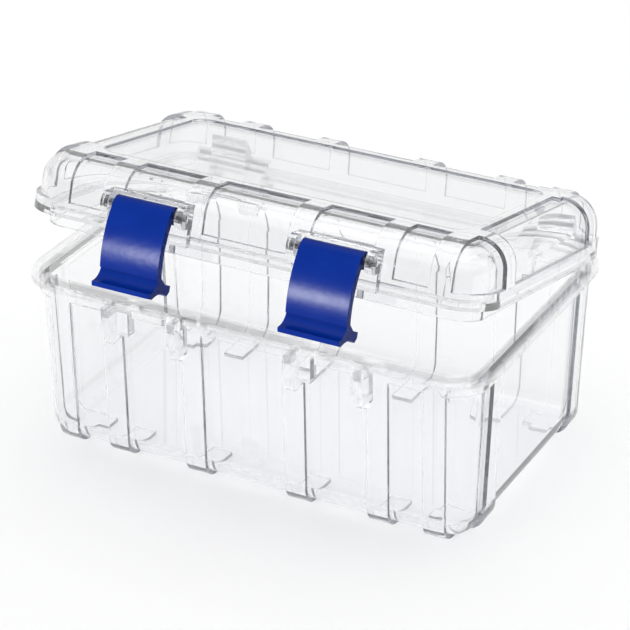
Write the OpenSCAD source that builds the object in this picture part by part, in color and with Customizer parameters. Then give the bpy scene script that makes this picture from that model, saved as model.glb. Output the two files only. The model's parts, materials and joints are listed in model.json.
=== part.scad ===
// Hinged storage box, moulded in clear plastic, with two snap latches. Millimetres, +Z up.
// X runs along the long front, -Y is the front. The origin is the middle of the whole outline, on
// the plane that the box stands on. The lid is drawn ajar, which is its rest pose.

/* [Tub] */
// Long side of the rim, over its outer edge
rim_x = 215; // [214:0.5:217]
// Short side of the rim, over its outer edge
rim_y = 138; // [137.5:0.5:139]
// Height from the table to the top of the rim
tub_h = 79; // [78:0.5:82]
// Thickness of the rim flange
rim_t = 2.6; // [2.2:0.1:3]
// How far the flange stands out past the ribs
rim_over = 3.1; // [2.8:0.1:3.3]
// Radius of the flange corners, in plan
rim_r = 19.5; // [19:0.5:21]
// Lean of each outer wall from rim to base
wall_draft = 2.6; // [2:0.1:3]
// Depth of the panels between the ribs
panel_d = 1.7; // [1.2:0.1:1.9]
// Radius of the bottom edge
foot_r = 10; // [8:0.5:11]
// Height of the ribs below the underside of the panels
foot_h = 1.8; // [1.4:0.1:2.4]
// Thickness of the floor
floor_t = 2.4; // [2:0.1:3]
// Half of the opening along X
mouth_x = 100; // [99.5:0.1:100.4]
// Half of the opening along Y
mouth_y = 60.6; // [60:0.1:60.9]
// Radius of the opening's corners
mouth_r = 11; // [10:0.5:12]
// Lean of the inner wall from mouth to floor
mouth_draft = 1.6; // [1.2:0.1:1.9]

/* [Ribs] */
// Width of every rib
rib_w = 9.5; // [8:0.5:10.5]
// Centre of the inner pair of front ribs
rib_1 = 23.8; // [23:0.1:24.5]
// Centre of the middle pair of front ribs
rib_2 = 61.7; // [61:0.1:62.5]
// Centre of the outer pair of front ribs
rib_3 = 86.9; // [86:0.1:87.6]
// Centre of the forward rib on each end wall
end_rib_front = -40.7; // [-41.5:0.1:-40]
// Centre of the rear rib on each end wall
end_rib_rear = 46.8; // [46:0.1:47.5]
// Plain band below the flange, above the panels
band_h = 7.8; // [7:0.1:9]

/* [Lid] */
// Height of the lid above the rim
lid_h = 25.6; // [25:0.1:27]
// Half length of the lid at its lower edge
lid_x = 106.3; // [106:0.1:106.8]
// Half width of the lid at its lower edge
lid_y = 68; // [67.6:0.1:68.3]
// Radius of the rounded edge round the top
dome_r = 12.5; // [11.5:0.5:13]
// Plain band at the bottom of the lid, below its panels
lid_band = 6.6; // [6:0.1:7.5]
// How far the lid's front and rear panels run in over the top
over_y = 19.6; // [19:0.1:20]
// How far the lid's end panels run in over the top
over_x = 18.2; // [18:0.1:19]
// Depth of the shallow panel sunk in the top
top_d = 1.2; // [1:0.1:1.4]
// Depth of the tongue that drops inside the mouth
tongue_h = 6.4; // [5:0.1:6.5]
// Angle at which the lid rests, front edge raised
ajar = 12.6; // [12:0.1:13]

/* [Latches] */
// Distance of each latch from the middle of the box
latch_c = 42.7; // [42.2:0.1:43]
// Width of a latch
latch_w = 27; // [26.6:0.1:27.2]
// Distance of the latch pin in front of the middle of the box
pin_y = 72.4; // [72.3:0.1:72.8]
// Height of the latch pin above the rim, with the lid shut
pin_z = 13; // [12.8:0.1:13.2]
// Diameter of the steel pins
pin_d = 3; // [2.8:0.1:3.2]
// Angle at which a latch rests, swung out from its snapped position
lean = 7.5; // [7:0.1:8]

/* [Hinges] */
// Distance of each hinge from the middle of the box
hinge_c = 80; // [78:0.5:81]
// Distance of the hinge axis behind the middle of the box
hinge_y = 72.9; // [72.8:0.1:73.2]
// Height of the hinge axis above the rim
hinge_z = 0.8; // [0.7:0.1:1]
// Radius of the hinge knuckles
knuckle_r = 3.4; // [3.2:0.1:3.4]
// Length of one whole hinge
hinge_w = 36; // [34:1:38]

/* [Hidden] */
$fn = 64;
eps = 0.02;
cut = 1;
root = 4;
// The middle of the outline lies behind the middle of the rim, because the latches stand proud.
mid_y = 6;
// The shut lid rests this far above the rim.
seat = 0.2;
lid_axis_z = hinge_z - seat;
wall_x = rim_x / 2 - rim_over;
wall_y = rim_y / 2 - rim_over;
wall_r = rim_r - rim_over;
wall_t = 2.6;
lid_r = rim_r - 1.2;
lid_draft = 1.8;
run_fit = 0.06;
// Each pin stops this far short of the outer face of its lug or knuckle.
pin_in = 0.5;
gap = 0.3;
slab_d = 30;
ear_in = 14.05;
ear_t = 3.3;
ear_reach = 7.4;
ear_h = 18.4;
ear_slope = 1.7;
ear_tip_r = 4.1;
catch_in = 9;
catch_drop = 15;
lug_in = 15.6;
lug_out = 18.9;
lug_r = 4.7;
pad_y = 70.8;
pad_t = 8;
pad_h = 17.7;
scoop_r = 4.1;
latch_knuckle_r = 3.7;
plate_r = 42.7;
plate_t = 3.5;
// The plate's outer arc is tangent to the knuckle, a little above the pin.
plate_cy = 35.1;
plate_cz = -17;
plate_top = 1.6;
fold_z = -26;
shelf_t = 2.2;
tongue_t = 2.2;
tongue_fit = 0.5;
lid_wall = 2.2;
top_x = 84.3;
top_y = 44;
top_r = 7;
tab_in = 11;
tab_out = 13.4;
tab_y = 69.4;
tab_drop = 3;
knuckle_w = 9;
strut_h = 16;
strap_h = 12;
strap_in = 1.2;
// Where a strut or strap leaves its knuckle, as a share of the knuckle's radius.
leave_y = 0.8;
leave_z = 0.6;

// The section of a leaning wall with a rounded foot, from a corner's centre outwards.
module wall_section(r, h, draft, foot) {
    lean_a = atan(draft / h);
    cx = r - draft * (h - foot) / h - foot / cos(lean_a);
    tx = cx + foot * cos(lean_a);
    tz = foot - foot * sin(lean_a);
    polygon([[0, 0], [cx, 0], [tx, tz], [r, h], [0, h]]);
    intersection() {
        translate([cx, foot]) circle(foot + eps / 2);
        translate([cx - eps, 0]) square(foot + cut);
    }
}

// A block with leaning walls, round corners and a rounded foot. Sizes are half sizes at the top.
module round_block(hx, hy, r, h, draft, foot) {
    for (sx = [-1, 1]) mirror([sx < 0 ? 1 : 0, 0, 0]) translate([hx - r, hy - r, 0])
        rotate([90, 0, 0]) linear_extrude(2 * (hy - r)) wall_section(r, h, draft, foot);
    for (sy = [-1, 1]) mirror([0, sy < 0 ? 1 : 0, 0]) translate([-(hx - r), hy - r, 0])
        rotate([90, 0, 90]) linear_extrude(2 * (hx - r)) wall_section(r, h, draft, foot);
    for (sx = [-1, 1], sy = [-1, 1])
        mirror([sx < 0 ? 1 : 0, 0, 0]) mirror([0, sy < 0 ? 1 : 0, 0]) translate([hx - r, hy - r, 0])
            rotate_extrude(angle = 90) wall_section(r, h, draft, foot);
    translate([-(hx - r), -(hy - r), 0]) cube([2 * (hx - r), 2 * (hy - r), h]);
}

// A flat plate with round corners in plan. Sizes are half sizes.
module round_plate(hx, hy, r, h) {
    translate([-(hx - r), -hy, 0]) cube([2 * (hx - r), 2 * hy, h]);
    translate([-hx, -(hy - r), 0]) cube([2 * hx, 2 * (hy - r), h]);
    for (sx = [-1, 1], sy = [-1, 1]) translate([sx * (hx - r), sy * (hy - r), 0]) cylinder(h = h, r = r);
}

// A YZ section drawn out along X, centred on x.
module along_x(x, w) translate([x - w / 2, 0, 0]) rotate([90, 0, 90]) linear_extrude(w) children();

// The lid's rest pose: turned about the hinge axis, front edge up.
module lid_pose() translate([0, hinge_y + mid_y, tub_h + hinge_z]) rotate([-ajar, 0, 0])
    translate([0, -hinge_y, -lid_axis_z]) children();

// Both pose and place for a latch, with the pin axis at the origin.
module latch_place(side) lid_pose() translate([side * latch_c, -pin_y, pin_z]) children();

// Slabs that pick out the ribs of the front, rear and end walls between two heights.
module rib_slabs(z0, z1) {
    for (x = [-rib_3, -rib_2, -rib_1, rib_1, rib_2, rib_3], s = [-1, 1])
        translate([x - rib_w / 2, s > 0 ? rim_y / 2 - slab_d : -rim_y / 2, z0])
            cube([rib_w, slab_d, z1 - z0]);
    for (y = [end_rib_front, end_rib_rear], s = [-1, 1])
        translate([s > 0 ? rim_x / 2 - slab_d : -rim_x / 2, y - rib_w / 2, z0])
            cube([slab_d, rib_w, z1 - z0]);
}

// One ear of a latch station, in the YZ plane.
module ear_section() {
    front = rim_y / 2 + ear_reach;
    tip_y = front - ear_slope - ear_tip_r;
    tip_z = tub_h - ear_h + ear_tip_r;
    polygon([[-wall_y + root, tub_h], [-front, tub_h], [-tip_y - ear_tip_r, tip_z], [-tip_y, tip_z],
             [-tip_y, tip_z - ear_tip_r], [-wall_y + root, tip_z - ear_tip_r + 1.5]]);
    translate([-tip_y, tip_z]) circle(ear_tip_r);
}

// A latch station: two ears, and between them two blocks that the snapped latch hooks under.
module catch(c) for (s = [-1, 1]) {
    along_x(c + s * (ear_in + ear_t / 2), ear_t) ear_section();
    translate([c + (s > 0 ? catch_in : -ear_in - 1), -rim_y / 2, tub_h - catch_drop])
        cube([ear_in - catch_in + 1, rim_over + root, catch_drop - 1]);
}

// The two outer knuckles of a hinge, each on a strut down the rear wall.
module tub_knuckles(c) for (s = [-1, 1]) along_x(c + s * (hinge_w - knuckle_w) / 2, knuckle_w) {
    translate([hinge_y, tub_h + hinge_z]) circle(knuckle_r);
    polygon([[wall_y - root, tub_h - 0.2], [wall_y - root, tub_h - strut_h],
             [wall_y - 0.5, tub_h - strut_h],
             [hinge_y + leave_y * knuckle_r, tub_h + hinge_z - leave_z * knuckle_r],
             [hinge_y, tub_h + hinge_z], [rim_y / 2 - 0.5, tub_h - 0.2]]);
}

module base_tub() color([0.9, 0.94, 0.96, 0.35]) translate([0, mid_y, 0]) difference() {
    union() {
        translate([0, 0, foot_h]) round_block(wall_x - panel_d, wall_y - panel_d, wall_r - panel_d,
            tub_h - foot_h - eps, wall_draft, foot_r - panel_d);
        intersection() {
            round_block(wall_x, wall_y, wall_r, tub_h - eps, wall_draft, foot_r);
            union() {
                rib_slabs(-cut, tub_h - band_h + eps);
                translate([-rim_x / 2, -rim_y / 2, tub_h - band_h]) cube([rim_x, rim_y, band_h + cut]);
            }
        }
        translate([0, 0, tub_h - rim_t]) round_plate(rim_x / 2, rim_y / 2, rim_r, rim_t);
        for (c = [-latch_c, latch_c]) catch(c);
        for (c = [-hinge_c, hinge_c]) tub_knuckles(c);
    }
    translate([0, 0, foot_h + floor_t]) round_block(mouth_x, mouth_y, mouth_r,
        tub_h - foot_h - floor_t + eps, mouth_draft, foot_r - wall_t);
    for (c = [-hinge_c, hinge_c]) translate([c - hinge_w / 2 - cut, hinge_y, tub_h + hinge_z])
        rotate([0, 90, 0]) cylinder(h = hinge_w + 2 * cut, d = pin_d);
}

// The lid's shell, bottom edge at z = 0, before its panels are sunk.
module lid_shell(inset, h, foot) translate([0, 0, h]) mirror([0, 0, 1])
    round_block(lid_x - inset, lid_y - inset, lid_r - inset, h, lid_draft, foot);

// The lid's half of a latch station: a pad, a lug at each end of it for the pin, and two small tabs.
module latch_bracket(c) {
    translate([c - lug_out, -pad_y, gap]) cube([2 * lug_out, pad_t, pad_h - gap]);
    for (s = [-1, 1]) {
        along_x(c + s * (lug_in + lug_out) / 2, lug_out - lug_in) {
            translate([-pin_y, pin_z]) circle(lug_r);
            translate([-pin_y, pin_z - lug_r]) square([pad_t, 2 * lug_r]);
        }
        translate([s > 0 ? c + tab_in : c - tab_out, -pad_y, -tab_drop])
            cube([tab_out - tab_in, pad_y - tab_y, tab_drop + cut]);
    }
}

// The middle knuckle of a hinge, on a strap down from the lid's rear wall.
module lid_knuckle(c) along_x(c, hinge_w - 2 * knuckle_w - 2 * gap) {
    translate([hinge_y, lid_axis_z]) circle(knuckle_r);
    polygon([[lid_y - root, gap], [hinge_y, gap],
             [hinge_y + leave_y * knuckle_r, lid_axis_z + leave_z * knuckle_r],
             [lid_y - strap_in, strap_h], [lid_y - root, strap_h]]);
}

// The tongue that drops inside the mouth, and the shelf that carries it.
module tongue() {
    hx = mouth_x - tongue_fit;
    hy = mouth_y - tongue_fit;
    r = mouth_r - tongue_fit;
    difference() {
        union() {
            round_plate(lid_x - 1, lid_y - 1, lid_r - 1, shelf_t);
            translate([0, 0, -tongue_h]) round_plate(hx, hy, r, tongue_h + cut);
        }
        translate([0, 0, -tongue_h - cut])
            round_plate(hx - tongue_t, hy - tongue_t, r - tongue_t, tongue_h + shelf_t + 2 * cut);
    }
}

module lid() color([0.92, 0.95, 0.97, 0.35]) lid_pose() {
    difference() {
        union() {
            lid_shell(panel_d, lid_h - panel_d, dome_r - panel_d);
            intersection() {
                lid_shell(0, lid_h, dome_r);
                union() {
                    translate([-rim_x / 2, -rim_y / 2, -cut]) cube([rim_x, rim_y, lid_band + cut]);
                    rib_slabs(lid_band - eps, lid_h + cut);
                    translate([-lid_x + over_x, -lid_y + over_y, lid_band])
                        cube([2 * (lid_x - over_x), 2 * (lid_y - over_y), lid_h]);
                }
            }
            for (c = [-latch_c, latch_c]) latch_bracket(c);
            for (c = [-hinge_c, hinge_c]) lid_knuckle(c);
        }
        translate([0, 0, -eps])
            lid_shell(panel_d + lid_wall, lid_h - panel_d - lid_wall, dome_r - panel_d - lid_wall);
        translate([0, 0, lid_h - top_d]) round_plate(top_x, top_y, top_r, top_d + cut);
        for (c = [-latch_c, latch_c]) translate([c, -pin_y, pin_z]) rotate([0, 90, 0]) {
            translate([0, 0, -ear_in]) cylinder(h = 2 * ear_in, r = scoop_r);
            translate([0, 0, -lug_out - cut]) cylinder(h = 2 * (lug_out + cut), d = pin_d);
        }
        for (c = [-hinge_c, hinge_c]) translate([c - hinge_w / 2, hinge_y, lid_axis_z])
            rotate([0, 90, 0]) cylinder(h = hinge_w, r = pin_d / 2 + run_fit);
    }
    tongue();
}

// A latch in section, snapped shut, with its pin axis at the origin. A curved plate hangs from the
// knuckle and ends in a crisp fold. Below the fold a lip for the fingers flares forward, and a barb
// points back.
module latch_section() {
    circle(latch_knuckle_r);
    intersection() {
        difference() {
            translate([plate_cy, plate_cz]) circle(plate_r);
            translate([plate_cy, plate_cz]) circle(plate_r - plate_t);
        }
        translate([-9, fold_z]) square([9, plate_top - fold_z]);
    }
    difference() {
        polygon([[-5.7, -25.4], [-11.6, -31.4], [-11.1, -33.5], [-8.7, -33.8], [3.3, -33.4], [5.2, -31.6],
                 [5.2, -29.1], [0.6, -28.3], [-3.2, -25.4]]);
        translate([-12.1, -24.9]) circle(6.5);
        translate([-2.3, -44.2]) circle(12.2);
    }
}

module latch(side) latch_place(side) rotate([-lean, 0, 0]) difference() {
    along_x(0, latch_w) latch_section();
    translate([-latch_w / 2 - cut, 0, 0]) rotate([0, 90, 0])
        cylinder(h = latch_w + 2 * cut, r = pin_d / 2 + run_fit);
}

module left_latch() color([0.02, 0.22, 0.68]) latch(-1);
module right_latch() color([0.02, 0.22, 0.68]) latch(1);

module latch_pin(side) latch_place(side) translate([-lug_out + pin_in, 0, 0]) rotate([0, 90, 0])
    cylinder(h = 2 * (lug_out - pin_in), d = pin_d);

module left_latch_pin() color([0.55, 0.56, 0.58]) latch_pin(-1);
module right_latch_pin() color([0.55, 0.56, 0.58]) latch_pin(1);

module hinge_pin(side)
    translate([side * hinge_c - hinge_w / 2 + pin_in, hinge_y + mid_y, tub_h + hinge_z])
        rotate([0, 90, 0]) cylinder(h = hinge_w - 2 * pin_in, d = pin_d);

module left_hinge_pin() color([0.55, 0.56, 0.58]) hinge_pin(-1);
module right_hinge_pin() color([0.55, 0.56, 0.58]) hinge_pin(1);

base_tub();
lid();
left_latch();
right_latch();
left_latch_pin();
right_latch_pin();
left_hinge_pin();
right_hinge_pin();
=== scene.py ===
# %% [markdown]
# # A clear hinged storage box with two snap latches
#
# The box is two thin mouldings of clear, colourless plastic: a ribbed tub and a domed lid with shallow
# panels sunk in it. Two royal-blue lever latches hang on steel pins from the front of the lid, and two
# hinges at the back join it to the tub. The lid rests a little open.
#
# The CAD model already holds every real shape at its real size. What is left is how it looks: moulded
# edges that are slightly rounded, plastic that bends light, and steel that is drawn, not chromed.

# %% Load the frame
import json
import math
import bmesh
import bpy
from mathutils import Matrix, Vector

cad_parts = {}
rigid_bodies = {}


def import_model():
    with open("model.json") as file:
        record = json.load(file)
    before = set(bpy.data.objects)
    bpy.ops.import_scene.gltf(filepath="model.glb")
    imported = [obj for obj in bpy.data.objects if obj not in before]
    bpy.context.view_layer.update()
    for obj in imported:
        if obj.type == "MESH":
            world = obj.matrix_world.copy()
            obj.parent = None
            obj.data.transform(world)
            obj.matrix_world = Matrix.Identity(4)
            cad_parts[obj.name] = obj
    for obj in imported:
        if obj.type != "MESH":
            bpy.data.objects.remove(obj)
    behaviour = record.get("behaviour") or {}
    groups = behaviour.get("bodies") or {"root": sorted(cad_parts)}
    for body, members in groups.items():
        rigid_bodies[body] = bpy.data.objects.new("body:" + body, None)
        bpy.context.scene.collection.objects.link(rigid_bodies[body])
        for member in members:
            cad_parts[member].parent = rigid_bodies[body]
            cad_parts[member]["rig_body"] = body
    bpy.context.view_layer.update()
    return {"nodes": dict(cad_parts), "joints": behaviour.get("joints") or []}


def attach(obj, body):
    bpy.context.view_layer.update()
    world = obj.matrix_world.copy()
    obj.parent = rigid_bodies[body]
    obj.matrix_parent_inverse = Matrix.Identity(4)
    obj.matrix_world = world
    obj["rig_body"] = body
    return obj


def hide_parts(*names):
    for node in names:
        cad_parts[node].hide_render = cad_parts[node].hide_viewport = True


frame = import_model()
scene = bpy.context.scene
MM = 0.001

# %% [markdown]
# ## Small helpers for materials
#
# Every finish here is a Principled shader with a few texture nodes in front of it. The textures read
# Object coordinates, so that a pattern stays put on its piece when the lid or a latch turns.

# %% Material helpers
def new_material(name):
    mat = bpy.data.materials.new(name)
    mat.use_nodes = True
    tree = mat.node_tree
    print("new material:", name)
    return mat, tree, tree.nodes["Principled BSDF"]


def noise(tree, scale, detail=2.0, stretch=(1, 1, 1)):
    """A noise pattern in the piece's own space, stretched along its axes if asked."""
    place = tree.nodes.new("ShaderNodeTexCoord")
    turn = tree.nodes.new("ShaderNodeMapping")
    turn.inputs["Scale"].default_value = stretch
    tex = tree.nodes.new("ShaderNodeTexNoise")
    tex.inputs["Scale"].default_value = scale
    tex.inputs["Detail"].default_value = detail
    tree.links.new(place.outputs["Object"], turn.inputs["Vector"])
    tree.links.new(turn.outputs["Vector"], tex.inputs["Vector"])
    return tex


def spread(tree, source, low, high):
    """Turns a 0 to 1 pattern into the range low to high."""
    reach = tree.nodes.new("ShaderNodeMapRange")
    reach.inputs["To Min"].default_value = low
    reach.inputs["To Max"].default_value = high
    tree.links.new(source, reach.inputs["Value"])
    return reach.outputs["Result"]


def bump(tree, shader, height, strength, distance):
    """Tips the shader's normals by a 0 to 1 pattern that is at most this distance high."""
    lift = tree.nodes.new("ShaderNodeBump")
    lift.inputs["Strength"].default_value = strength
    lift.inputs["Distance"].default_value = distance
    tree.links.new(height, lift.inputs["Height"])
    tree.links.new(lift.outputs["Normal"], shader.inputs["Normal"])


# %% [markdown]
# ## Clear plastic
#
# Clear polystyrene and polycarbonate bend light a little more than window glass, with an index of 1.57 to
# 1.59. A thin flat wall hardly shows. What is seen is each place where the wall turns or steps, because
# light that leaves there comes from far off to the side. So the shader is plain transmission with that
# index, and the geometry does the rest. A mould leaves the surface almost, but not quite, flat: a faint
# large-scale ripple makes the reflections waver as they do on a real box.
#
# Real light passes through the walls and leaves hardly any shadow. A path tracer finds that light very
# slowly, so lamps see the plastic as nearly open, by a Light Path switch.
#
# A perfect solid would also pipe light from its flat rim down inside the wall and leave a heavy dark band
# round the mouth. Real plastic scatters that light back out. A second version of the material, partly
# open by its alpha, stands for that on the rim alone.
#
# A moulding of this kind shows a dark outline along each edge and step. The low dark side of the studio
# gives only a faint one, so a third version, greyer, paints that shade onto those narrow faces. It is
# painted
# shade, a choice made for the look: the real plastic has one colour all over.

# %% Clear plastic
plastic_ior = 1.57
clear_tint = (0.980, 0.983, 0.990)
# Painted shade: this grey draws the dark outline that refraction gives along edges and steps.
painted_edge_shade_tint = (0.36, 0.37, 0.41)


def clear_plastic(name, solid_share, tint):
    """Clear plastic that is solid to this share, and open for the rest."""
    mat, tree, shader = new_material(name)
    shader.inputs["Base Color"].default_value = (*tint, 1)
    shader.inputs["Transmission Weight"].default_value = 0.995
    shader.inputs["Alpha"].default_value = solid_share
    shader.inputs["IOR"].default_value = plastic_ior
    ripple = noise(tree, 9.0, detail=1.0)
    bump(tree, shader, ripple.outputs["Fac"], 0.06, 0.002)
    haze = noise(tree, 60.0, detail=3.0)
    tree.links.new(spread(tree, haze.outputs["Fac"], 0.0, 0.03), shader.inputs["Roughness"])
    path = tree.nodes.new("ShaderNodeLightPath")
    open_to_lamps = tree.nodes.new("ShaderNodeBsdfTransparent")
    open_to_lamps.inputs["Color"].default_value = (0.97, 0.975, 0.98, 1)
    mix = tree.nodes.new("ShaderNodeMixShader")
    tree.links.new(path.outputs["Is Shadow Ray"], mix.inputs["Fac"])
    tree.links.new(shader.outputs["BSDF"], mix.inputs[1])
    tree.links.new(open_to_lamps.outputs["BSDF"], mix.inputs[2])
    tree.links.new(mix.outputs["Shader"], tree.nodes["Material Output"].inputs["Surface"])
    return mat


clear = clear_plastic("clear moulded plastic", 0.97, clear_tint)
clear_rim = clear_plastic("clear moulded plastic at the rim", 0.35, clear_tint)
# This copy is painted shade, greyer than the plastic, for the narrow faces of edges and steps.
clear_with_painted_edge_shade = clear_plastic("clear plastic with painted edge shade", 0.97, painted_edge_shade_tint)

# %% [markdown]
# ## Blue plastic
#
# The latches are moulded in an opaque, deep royal blue with a gloss finish. A moulded gloss surface has a
# soft orange-peel ripple that breaks up its highlights, and the colour is a touch uneven where the melt
# flowed. Both are noise, at about 3 mm and 12 mm.

# %% Blue plastic
def blue_plastic():
    mat, tree, shader = new_material("royal blue gloss plastic")
    flow = noise(tree, 80.0, detail=2.0)
    shade = tree.nodes.new("ShaderNodeMixRGB")
    shade.inputs["Color1"].default_value = (0.0002, 0.0125, 0.140, 1)
    shade.inputs["Color2"].default_value = (0.0004, 0.0170, 0.175, 1)
    tree.links.new(flow.outputs["Fac"], shade.inputs["Fac"])
    tree.links.new(shade.outputs["Color"], shader.inputs["Base Color"])
    peel = noise(tree, 320.0, detail=1.0)
    bump(tree, shader, peel.outputs["Fac"], 0.10, 0.0004)
    tree.links.new(spread(tree, flow.outputs["Fac"], 0.20, 0.30), shader.inputs["Roughness"])
    shader.inputs["IOR"].default_value = 1.5
    shader.inputs["Specular IOR Level"].default_value = 0.07
    return mat


blue = blue_plastic()

# %% [markdown]
# ## Drawn steel
#
# The pins are cut from drawn wire, so fine lines run along them, which is X here. Noise that is squeezed
# across the pin and stretched along it gives those lines, in the roughness and as a very shallow bump.

# %% Steel
def drawn_steel():
    mat, tree, shader = new_material("drawn steel")
    shader.inputs["Base Color"].default_value = (0.24, 0.245, 0.26, 1)
    shader.inputs["Metallic"].default_value = 1.0
    lines = noise(tree, 60.0, detail=4.0, stretch=(1, 40, 40))
    tree.links.new(spread(tree, lines.outputs["Fac"], 0.22, 0.42), shader.inputs["Roughness"])
    bump(tree, shader, lines.outputs["Fac"], 0.15, 0.0001)
    return mat


steel = drawn_steel()

# %% [markdown]
# ## Softened mouldings
#
# A mould's edges are never knife-sharp: a clear part shows a thin bright or dark line along each edge,
# about half a millimetre wide, and that line is most of what the eye sees of it. The CAD solids have
# sharp edges. So the tub, the lid and the latches are each copied, the copy's loose triangles are merged,
# its flat faces are dissolved back into whole ones, and a Bevel modifier rounds every edge that turns by
# more than 25 degrees. Rounding the solid this way keeps its size, and follows all the ribs and panels
# with no second drawing of them.
#
# Clear plastic shows any error in its normals. Smooth shading alone tips the normals at the rim of each
# large flat face towards the curve beside it, and the whole face then bends light like a lens. The
# Weighted Normal modifier lets the larger face decide, so flat walls stay optically flat.

# %% Softened copies of the CAD solids
same_point = 0.002 * MM
same_plane = math.radians(0.2)
edge_radius = 0.45 * MM


def soften(node, segments=2, sharp=math.radians(25)):
    """A copy of a CAD node with rounded edges, which stands for it."""
    source = frame["nodes"][node]
    bm = bmesh.new()
    bm.from_mesh(source.data)
    bmesh.ops.remove_doubles(bm, verts=bm.verts, dist=same_point)
    bmesh.ops.dissolve_limit(bm, angle_limit=same_plane, verts=bm.verts, edges=bm.edges, delimit={"NORMAL"})
    for face in bm.faces:
        face.smooth = True
    for edge in bm.edges:
        edge.smooth = edge.calc_face_angle(0) < sharp
    mesh = bpy.data.meshes.new(node + "_moulding")
    bm.to_mesh(mesh)
    for attribute in [a for a in mesh.attributes if a.name == "custom_normal"]:
        mesh.attributes.remove(attribute)
    faces = len(bm.faces)
    bm.free()
    piece = bpy.data.objects.new(node + "_moulding", mesh)
    scene.collection.objects.link(piece)
    round_off = piece.modifiers.new("rounded edges", "BEVEL")
    round_off.limit_method = "ANGLE"
    round_off.angle_limit = sharp
    round_off.width = edge_radius
    round_off.segments = segments
    even_out = piece.modifiers.new("normals led by the largest faces", "WEIGHTED_NORMAL")
    even_out.mode = "FACE_AREA"
    even_out.weight = 100
    even_out.keep_sharp = True
    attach(piece, source["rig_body"])
    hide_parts(node)
    print(piece.name, faces, "faces before its edges are rounded")
    return piece


def paint(piece, *mats):
    """Puts these materials in the piece's slots, in this order."""
    piece.data.materials.clear()
    for mat in mats:
        piece.data.materials.append(mat)


# %% [markdown]
# ## Tub and lid
#
# Both are the same plastic and get the same small radius, 0.45 mm, as a polished mould of this size leaves
# on an edge. The tub is cut across just below its flange, which adds a line of edges and changes no shape,
# so that the faces above it can take the rim's version of the plastic. The rounded edges and the narrow
# sides of the ribs and panels take the greyer version, a painted shade that draws the thin lines outlining
# the box.
# A long thin face is found by its width, which is twice its area over its perimeter.

# %% Faces that take another version of the plastic
slots = (clear, clear_rim, clear_with_painted_edge_shade)
on_the_cut = 0.001 * MM
narrow = 2.0 * MM
steep = math.radians(60)
mostly = 0.7


def mark_rim(piece, height):
    """Gives the faces above a height the rim's material."""
    bm = bmesh.new()
    bm.from_mesh(piece.data)
    bmesh.ops.bisect_plane(bm, geom=bm.verts[:] + bm.edges[:] + bm.faces[:], dist=on_the_cut,
                           plane_co=(0, 0, height), plane_no=(0, 0, 1))
    above = [face for face in bm.faces if face.calc_center_median().z > height]
    for face in above:
        face.material_index = slots.index(clear_rim)
    bm.to_mesh(piece.data)
    bm.free()
    print(len(above), "faces of", piece.name, "belong to its rim")


def paint_edge_shade_on_steps(piece):
    """Gives the painted edge shade to narrow faces that meet their neighbours steeply for most of the way.
    """
    bm = bmesh.new()
    bm.from_mesh(piece.data)
    steps = 0
    for face in bm.faces:
        around = face.calc_perimeter()
        width = 2 * face.calc_area() / around
        turned = sum(edge.calc_length() for edge in face.edges if edge.calc_face_angle(0) > steep)
        if width < narrow and turned > mostly * around:
            face.material_index = slots.index(clear_with_painted_edge_shade)
            steps += 1
    bm.to_mesh(piece.data)
    bm.free()
    print(steps, "faces of", piece.name, "are the sides of steps")


# %% Tub and lid
flange_t = 2.6 * MM
below_flange = 1.5 * MM
hinge_above_rim = 0.8 * MM
mouldings = {node: soften(node) for node in ("base_tub", "lid")}
for piece in mouldings.values():
    paint(piece, *slots)
    # The rounded edges take the greyer copy, painted shade along every edge.
    piece.modifiers["rounded edges"].material = slots.index(clear_with_painted_edge_shade)
hinge_pos = next(joint["pos_m"] for joint in frame["joints"] if joint["name"] == "lid_hinge")
rim_top = hinge_pos[2] - hinge_above_rim
mark_rim(mouldings["base_tub"], rim_top - flange_t - below_flange)
for piece in mouldings.values():
    paint_edge_shade_on_steps(piece)

# %% [markdown]
# ## Latches
#
# The latches get the same radius with one more segment, because their edges catch a crisp highlight. They
# have a collection of their own, so that one low softbox can light them alone.

# %% Latches
latches = bpy.data.collections.new("latches")
for node in ("left_latch", "right_latch"):
    latch = soften(node, segments=3)
    paint(latch, blue)
    latches.objects.link(latch)

# %% [markdown]
# ## Pins
#
# The pins stay as the CAD draws them. Their ends sit inside their lugs, so only the material changes.

# %% Pins
for node in ("left_latch_pin", "right_latch_pin", "left_hinge_pin", "right_hinge_pin"):
    paint(frame["nodes"][node], steel)
    print(node, "is", steel.name)

# %% [markdown]
# ## Floor
#
# A clear object is drawn by what it refracts, and straight through it shows the floor. A wide matt sheet,
# nearly white, reaches past every view of the box. It lies a hair below the feet, so that no two faces
# share a plane.

# %% Floor
floor_size = 40.0
floor_z = -0.2 * MM
bpy.ops.mesh.primitive_plane_add(size=floor_size, location=(0, 0, floor_z))
floor = bpy.context.object
floor.name = "floor"
floor_mat, floor_tree, floor_shader = new_material("white floor")
floor_shader.inputs["Base Color"].default_value = (0.93, 0.93, 0.93, 1)
floor_shader.inputs["Roughness"].default_value = 0.9
floor_shader.inputs["Specular IOR Level"].default_value = 0.1
paint(floor, floor_mat)
print("floor", floor_size, "m wide")

# %% [markdown]
# ## Light
#
# At its edges clear plastic shows whatever lies low and to the side. So the surroundings are white above
# and behind, and nearly black low down on the side that the latches face, as an unlit studio would be.
# One wide overhead softbox gives the floor its soft shadow. A small one, low and in front, reaches the
# latches alone, for the pale band across their curve. On the clear plastic it would be a hard white spot.

# %% Surroundings
white = (1, 1, 1, 1)
near_black = (0.03, 0.032, 0.036, 1)


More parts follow.
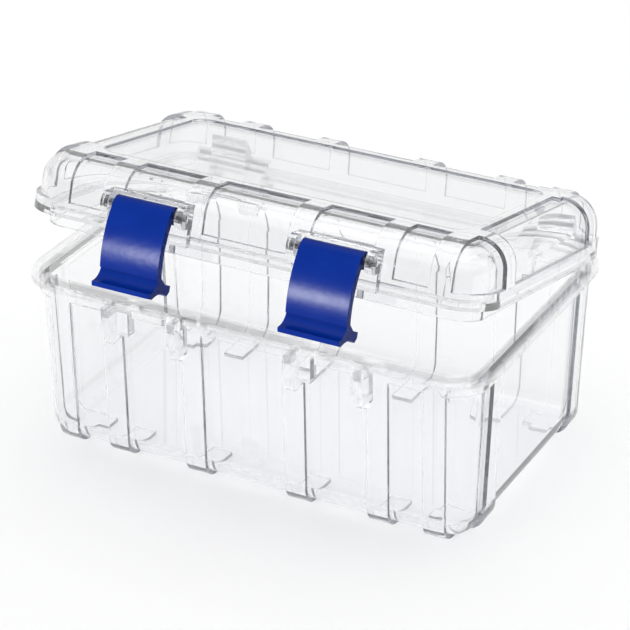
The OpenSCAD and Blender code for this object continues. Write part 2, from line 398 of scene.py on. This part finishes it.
def surroundings():
    """White all round, and near black where the view is both towards the front and low."""
    world = bpy.data.worlds.new("studio")
    scene.world = world
    world.use_nodes = True
    tree = world.node_tree
    place = tree.nodes.new("ShaderNodeTexCoord")
    split = tree.nodes.new("ShaderNodeSeparateXYZ")
    tree.links.new(place.outputs["Generated"], split.inputs["Vector"])
    both = tree.nodes.new("ShaderNodeMath")
    both.operation = "MULTIPLY"
    for socket, axis, start, end in ((0, "Y", 0.35, -0.15), (1, "Z", 0.55, 0.20)):
        part = tree.nodes.new("ShaderNodeMapRange")
        part.interpolation_type = "SMOOTHSTEP"
        part.inputs["From Min"].default_value = start
        part.inputs["From Max"].default_value = end
        tree.links.new(split.outputs[axis], part.inputs["Value"])
        tree.links.new(part.outputs["Result"], both.inputs[socket])
    shade = tree.nodes.new("ShaderNodeMixRGB")
    shade.inputs["Color1"].default_value = white
    shade.inputs["Color2"].default_value = near_black
    tree.links.new(both.outputs["Value"], shade.inputs["Fac"])
    tree.links.new(shade.outputs["Color"], tree.nodes["Background"].inputs["Color"])


surroundings()
print("surroundings:", scene.world.name)

# %% Softboxes
def lamp(name, place, aim, size, power):
    """A square softbox that faces a point."""
    data = bpy.data.lights.new(name, "AREA")
    data.size = size
    data.energy = power
    light = bpy.data.objects.new(name, data)
    light.location = place
    light.rotation_euler = (Vector(aim) - Vector(place)).to_track_quat("-Z", "Y").to_euler()
    scene.collection.objects.link(light)
    print(name, "at", place)
    return light


lamp("overhead softbox", (0, 0.1, 1.8), (0, 0, 0), 1.8, 15)
strip = lamp("low front softbox for the latches", (-0.60, -1.36, 0.32), (0, 0, 0.10), 0.26, 32)
strip.light_linking.receiver_collection = latches

# %% [markdown]
# ## Camera
#
# A long lens from a little over a metre away keeps the box's long edges nearly parallel. The camera stands
# to the right and above, and is placed by its angles round a point near the middle of the box.

# %% Camera
target = Vector((1.5, 2.6, 56.9)) * MM
azimuth, elevation, distance = math.radians(27.67), math.radians(27.85), 1.1743
camera = bpy.data.objects.new("camera", bpy.data.cameras.new("camera"))
camera.data.lens = 157.2
camera.data.clip_start = 0.05
away = Vector((math.sin(azimuth) * math.cos(elevation), -math.cos(azimuth) * math.cos(elevation),
               math.sin(elevation)))
camera.location = target + distance * away
camera.rotation_euler = (target - camera.location).to_track_quat("-Z", "Y").to_euler()
scene.collection.objects.link(camera)
scene.camera = camera
print("camera", distance, "m from its target")

# %% [markdown]
# ## How far light is followed
#
# A ray that crosses the lid and the tub passes a dozen walls. The usual limit of 12 bounces would end it
# inside the plastic and leave black patches.

# %% Light paths and tone
scene.cycles.max_bounces = 32
scene.cycles.transmission_bounces = 32
scene.cycles.glossy_bounces = 8
scene.cycles.transparent_max_bounces = 32
scene.view_settings.view_transform = "Standard"
scene.view_settings.exposure = -0.22
print("bounces:", scene.cycles.max_bounces)
